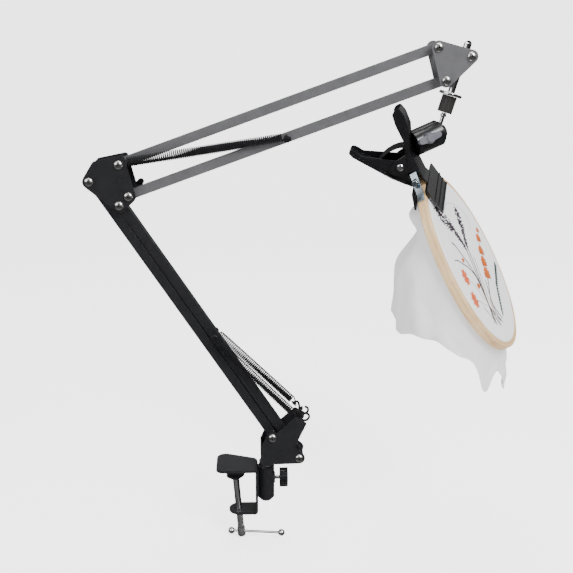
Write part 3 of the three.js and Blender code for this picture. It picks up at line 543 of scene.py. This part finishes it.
def hem_height(t):
    """Height of the hem above the clamp, for an angle round the hoop from uphill."""
    degrees = math.degrees(t) % 360
    level = 177 - 20 * smooth_step((degrees - 95) / 40) + 12 * smooth_step((degrees - 225) / 50)
    corners = 42 * hump(degrees, 151, 12) + 60 * hump(degrees, 191, 25)
    return level - corners + 2 * math.sin(5 * t + 1) + 1.2 * math.sin(11 * t)


def drape_point(t, share):
    """Point of the falling cloth: from the back of the ring at angle t down to its hem."""
    degrees = math.degrees(t)
    outward = Vector((-NORMAL.x, -NORMAL.y, 0)).normalized()
    along_rim = math.cos(t) * UPHILL + math.sin(t) * SIDEWAYS
    radius = FALL_RADIUS_MM - 9 * math.exp(-((degrees - 18) / 27) ** 6)
    rim = HOOP_CENTRE + radius * along_rim + RING_BACK_MM * NORMAL
    fall = max(SHORTEST_FALL_MM, rim.z - hem_height(t))
    run = fall * share
    ease = smooth_step(run / 28)
    billow = 25 * smooth_step((284 - rim.z + run) / 54) * (0.5 + 0.5 * math.cos(t)) ** 0.7
    tuck = 13 * hump(degrees, 26, 12) * math.sin(math.pi * min(1.0, run / 24))
    flare = 8 * hump(degrees % 360, 192, 20)
    folds = 3.0 * math.sin(3 * t + 0.6) + 2.0 * math.sin(5 * t + 2.1) + 1.0 * math.sin(11 * t)
    folds *= (0.4 + 0.8 * share) * (1 - 0.6 * hump(degrees % 360, 180, 25))
    crumple = noise.noise(Vector((t * 2.6, share * 2.4, 0.7))) * 8 * share
    wrinkle = noise.noise(Vector((t * 6, share * 5, 4.2))) * 1.6
    level = Vector((along_rim.x, along_rim.y, 0))
    sway = level.normalized() if level.length > 0.2 else outward
    behind = -3.2 * (1 - (1 - min(1.0, run / 26)) ** 2) * NORMAL
    spread = ease * ((billow + wrinkle - flare) * outward + 0.8 * (folds + crumple) * sway)
    return rim + behind + spread + tuck * outward - Vector((0, 0, run * (0.9 + 0.1 * ease)))


def cloth_piece():
    """The taut disc over the inner ring, its turn between the rings, and the fall behind them."""
    around, falls = 240, 44
    profile = ((30, CLOTH_TOP_MM), (60, CLOTH_TOP_MM), (88, CLOTH_TOP_MM), (94, CLOTH_TOP_MM),
               (95.8, CLOTH_TOP_MM - 0.05), (96.6, CLOTH_TOP_MM - 0.7), (96.85, CLOTH_TOP_MM - 2),
               (96.85, 0), (96.9, RING_BACK_MM + 0.2))
    vertices = [PICTURE @ Vector((0, 0, CLOTH_TOP_MM))]
    faces = []
    for radius, height in profile:
        for i in range(around):
            t = 2 * math.pi * i / around
            along_rim = math.cos(t) * UPHILL + math.sin(t) * SIDEWAYS
            vertices.append((HOOP_CENTRE + radius * along_rim + height * NORMAL) * MM)
    for j in range(falls):
        share = (j + 1) / falls
        for i in range(around):
            t = 2 * math.pi * i / around
            t = t if t <= math.pi else t - 2 * math.pi
            vertices.append(drape_point(t, share) * MM)
    for i in range(around):
        faces.append((0, 1 + i, 1 + (i + 1) % around))
    rows = len(profile) + falls
    for j in range(rows - 1):
        for i in range(around):
            n = (i + 1) % around
            a = 1 + j * around
            b = a + around
            faces.append((a + i, b + i, b + n, a + n))
    piece = make_mesh("draped_cloth", vertices, faces, CLOTH)
    thick = piece.modifiers.new("cloth thickness", "SOLIDIFY")
    thick.thickness = CLOTH_THICKNESS_MM * MM
    thick.offset = 0
    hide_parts("embroidered_cloth")
    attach(piece, "grip")


cloth_piece()


# ---------------------------------------------------------------- embroidery

# Stitches lie on the taut cloth. Their points are to the right and uphill from its middle.


def on_cloth(x, y, lift=0.0):
    """Point on the face of the taut cloth."""
    return PICTURE @ Vector((x, y, STITCH_LIFT_MM + lift))


def stitch(start, end, width):
    """One satin stitch: a short strand that arches over the cloth."""
    points = []
    for i in range(5):
        f = i / 4
        x = start[0] + (end[0] - start[0]) * f
        y = start[1] + (end[1] - start[1]) * f
        points.append(on_cloth(x, y, 0.35 * math.sin(math.pi * f)))
    return tube(points, width * MM, 5)


def stem(points, width):
    """A line of stem stitch through a few points."""
    line = []
    for i in range(len(points) - 1):
        before, start = points[max(i - 1, 0)], points[i]
        end, after = points[i + 1], points[min(i + 2, len(points) - 1)]
        for k in range(8):
            f = k / 8
            spot = [0.5 * (2 * start[c] + (end[c] - before[c]) * f
                           + (2 * before[c] - 5 * start[c] + 4 * end[c] - after[c]) * f * f
                           + (3 * start[c] - before[c] - 3 * end[c] + after[c]) * f ** 3) for c in (0, 1)]
            line.append(on_cloth(spot[0], spot[1], 0.08 * math.sin(len(line) * 1.9)))
    line.append(on_cloth(*points[-1]))
    return tube(line, width * MM, 6)


def daisy(x, y, size, petals):
    """Straight petals round a centre, three strands to a petal."""
    strands = []
    for i in range(petals):
        a = 2 * math.pi * i / petals + 0.3
        for spread in (-0.2, 0, 0.2):
            reach = size * (1.0 if spread == 0 else 0.8)
            inner = (x + 1.2 * math.cos(a), y + 1.2 * math.sin(a))
            outer = (x + reach * math.cos(a + spread), y + reach * math.sin(a + spread))
            strands.append(stitch(inner, outer, 0.65))
    return merged(strands)


def blossom(x, y, size, lean):
    """Pointed petals that fan upward from a short stalk, like a montbretia flower."""
    strands = []
    for i in range(8):
        a = math.radians(lean - 84 + 24 * i)
        reach = size * (0.78 + 0.22 * math.cos(2 * (a - math.radians(lean))))
        for spread in (-0.08, 0.08):
            tip = (x + 1.45 * reach * math.cos(a + spread), y + reach * math.sin(a + spread))
            strands.append(stitch((x, y), tip, 0.6))
    return merged(strands)


def plume(path, width, count, seed):
    """A lavender spike: small knots scattered either side of its stem, denser towards the root."""
    chance = random.Random(seed)
    strands = []
    for i in range(count):
        f = (i + chance.random()) / count
        position = f ** 0.8 * (len(path) - 1)
        k = min(int(position), len(path) - 2)
        g = position - k
        cx = path[k][0] + (path[k + 1][0] - path[k][0]) * g
        cy = path[k][1] + (path[k + 1][1] - path[k][1]) * g
        a = chance.uniform(0, 2 * math.pi)
        reach = width * chance.random() ** 0.7 * (0.45 + 0.6 * math.sin(math.pi * min(1, f * 1.25 + 0.1)))
        px, py = cx + reach * math.cos(a), cy + reach * math.sin(a)
        turn = chance.uniform(0, math.pi)
        strands.append(stitch((px, py), (px + 1.5 * math.cos(turn), py + 1.5 * math.sin(turn)), 0.6))
    return merged(strands)


def sprig(path, leaf):
    """A stem with short leaves to both sides."""
    strands = [stem(path, 0.7)]
    for k in range(len(path) - 1):
        (x0, y0), (x1, y1) = path[k], path[k + 1]
        heading = math.atan2(y1 - y0, x1 - x0)
        for step in range(5):
            f = step / 5
            x, y = x0 + (x1 - x0) * f, y0 + (y1 - y0) * f
            for side in (-0.8, 0.8):
                tip = (x - leaf * math.cos(heading + side), y - leaf * math.sin(heading + side))
                strands.append(stitch((x, y), tip, 0.6))
    return merged(strands)


ROOT = (-30, -47)
NIGHT = thread("aubergine thread", (0.030, 0.016, 0.028))
BARK = thread("dark brown thread", (0.055, 0.030, 0.024))
TAN = thread("tan thread", (0.33, 0.22, 0.14))
ORANGE = thread("orange thread", (0.52, 0.11, 0.006))
CORAL = thread("coral thread", (0.66, 0.12, 0.03))
LEAF = thread("dark green thread", (0.022, 0.040, 0.028))
GREY = thread("grey thread", (0.45, 0.47, 0.50))


def embroider(name, made, parts):
    """One piece of embroidery in one colour of thread."""
    vertices, faces = merged(parts)
    piece = make_mesh(name, vertices, faces, made)
    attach(piece, "grip")


PLUME_LEFT = [(-47, 66), (-36, 56), (-22, 42), (-9, 15)]
PLUME_RIGHT = [(30, 54), (22, 44), (14, 33), (-1, 14)]
embroider("lavender_plumes", NIGHT, [plume(PLUME_LEFT, 10, 210, 4), plume(PLUME_RIGHT, 9, 150, 9)])
embroider("dark_stems", BARK, [
    stem([(-43, 25), (-34, 10), (-28, 0), (-22, -22), ROOT, (-40, -67)], 0.54),
    stem([(-60, 12), (-47, 4), (-35, -3), (-24, -18), ROOT, (-36, -70)], 0.54),
    stem([(-9, 15), (-14, -4), (-20, -24), ROOT, (-24, -74)], 0.43),
    stem([(-1, 14), (-8, -8), (-18, -28), ROOT, (-14, -72)], 0.43),
    stem([(20, -28), (2, -38), (-14, -50), (-4, -72)], 0.5),
    stem([(5, -28), (-8, -44), (-16, -60), (-10, -75)], 0.43),
    stem([(-43, 25), (-50, 30)], 0.65), stem([(-60, 12), (-70, 14)], 0.5)])
embroider("tan_stems", TAN, [
    stem([(62, 10), (40, -6), (18, -28), (-10, -46), (-30, -66)], 0.36),
    stem([(-2, 6), (-10, -14), (-22, -36), (-34, -62)], 0.36),
    stem([(-58, -10), (-44, -22), (-34, -42)], 0.25), stem([(-64, -32), (-50, -40), (-34, -48)], 0.25),
    stem([(-52, -44), (-42, -58), (-34, -66)], 0.36),
    stem([(6, 0), (-6, -22), (-18, -44), (-22, -76)], 0.36)])
embroider("orange_blossoms", ORANGE, [
    blossom(21, -29, 13, 62), blossom(33, -17, 11.5, 70), blossom(44, -5, 10.5, 60),
    blossom(60, 8, 9, 66), blossom(74, 17, 5, 60), blossom(-41, 6, 4, 100), blossom(-32, -27, 5, 100)])
embroider("coral_daisies", CORAL, [daisy(-63, -7, 9.5, 8), daisy(-70, -31, 9.5, 8)])
embroider("green_sprig", LEAF, [sprig([(77, -27), (60, -35), (40, -44), (22, -57), (4, -71)], 4.2)])
embroider("grey_loop", GREY, [stem([(-22, 60), (4, 66), (36, 58), (58, 43), (52, 30), (44, 25)], 0.3)])


# ---------------------------------------------------------------- floor, light and camera


def floor():
    """A pale floor that sweeps up behind the stand, so no horizon shows."""
    lowest = min(corner[2] for corner in size_at_start)
    side, front, turn, bend, top, steps = 6.0, -5.0, 1.6, 1.2, 6.0, 12
    profile = [(front, lowest)]
    for i in range(steps + 1):
        a = math.pi / 2 * i / steps
        profile.append((turn + bend * math.sin(a), lowest + bend * (1 - math.cos(a))))
    profile.append((turn + bend, top))
    vertices = [Vector((x, y, z)) for y, z in profile for x in (-side, side)]
    faces = [(2 * i, 2 * i + 1, 2 * i + 3, 2 * i + 2) for i in range(len(profile) - 1)]
    made = surface("pale floor", (0.93, 0.93, 0.93), 0.85, speckle=0.01, scale=40, bump=0.02)
    nodes, links = made.node_tree.nodes, made.node_tree.links
    shader = nodes["Principled BSDF"]
    shader.inputs["Emission Color"].default_value = (1, 1, 1, 1)
    rays = add_node(nodes, "LightPath")
    glow = add_math(nodes, links, "MULTIPLY", rays.outputs["Is Camera Ray"], 2.2)
    links.new(glow, shader.inputs["Emission Strength"])
    piece = make_mesh("floor", vertices, faces, made)
    piece.visible_glossy = False


def area_light(name, position, target, size, power):
    """A soft round lamp that points at a target."""
    data = bpy.data.lights.new(name, "AREA")
    data.shape = "DISK"
    data.size = size
    data.energy = power
    lamp = bpy.data.objects.new(name, data)
    lamp.location = position
    lamp.rotation_euler = (Vector(target) - Vector(position)).to_track_quat("-Z", "Y").to_euler()
    bpy.context.scene.collection.objects.link(lamp)


def studio_world():
    """White light all round, but a dim room with a bright ceiling and a bright band in reflections."""
    world = bpy.data.worlds.new("studio")
    world.use_nodes = True
    nodes, links = world.node_tree.nodes, world.node_tree.links
    place = add_node(nodes, "TexCoord")
    parts = add_node(nodes, "SeparateXYZ")
    height = add_node(nodes, "MapRange", {"From Min": -1})
    room = add_node(nodes, "ValToRGB")
    bands = ((0.0, 0.25), (0.35, 0.03), (0.5, 0.06), (0.62, 0.5), (0.74, 0.12), (1.0, 0.9))
    stops = room.color_ramp.elements
    while len(stops) < len(bands):
        stops.new(0.5)
    for stop, (position, grey) in zip(stops, bands):
        stop.position = position
        stop.color = (grey, grey, grey, 1)
    rays = add_node(nodes, "LightPath")
    choice = add_node(nodes, "Mix")
    choice.data_type = "RGBA"
    choice.inputs["A"].default_value = (1, 1, 1, 1)
    links.new(place.outputs["Generated"], parts.inputs["Vector"])
    links.new(parts.outputs["Z"], height.inputs["Value"])
    links.new(height.outputs["Result"], room.inputs["Fac"])
    links.new(rays.outputs["Is Glossy Ray"], choice.inputs["Factor"])
    links.new(room.outputs["Color"], choice.inputs["B"])
    links.new(choice.outputs["Result"], nodes["Background"].inputs["Color"])
    nodes["Background"].inputs["Strength"].default_value = 0.8
    bpy.context.scene.world = world


def light():
    """Key from the right, fill from the left, and a lamp above."""
    studio_world()
    area_light("key", (0.94, -1.3, 1.5), (0.09, 0, 0.25), 0.8, 44)
    area_light("fill", (-1.26, -1.0, 0.9), (0.04, 0, 0.25), 1.4, 12)
    area_light("top", (0.14, 0.3, 1.8), (0.04, 0, 0.3), 1.2, 18)


def camera():
    """The camera looks at the arms from in front and a little above."""
    data = bpy.data.cameras.new("camera")
    data.sensor_width = CAMERA_SENSOR
    data.lens = CAMERA_LENS
    eye = bpy.data.objects.new("camera", data)
    eye.location = CAMERA_PLACE
    eye.rotation_euler = (math.radians(CAMERA_PITCH), 0, math.radians(CAMERA_TURN))
    bpy.context.scene.collection.objects.link(eye)
    bpy.context.scene.camera = eye


floor()
light()
camera()
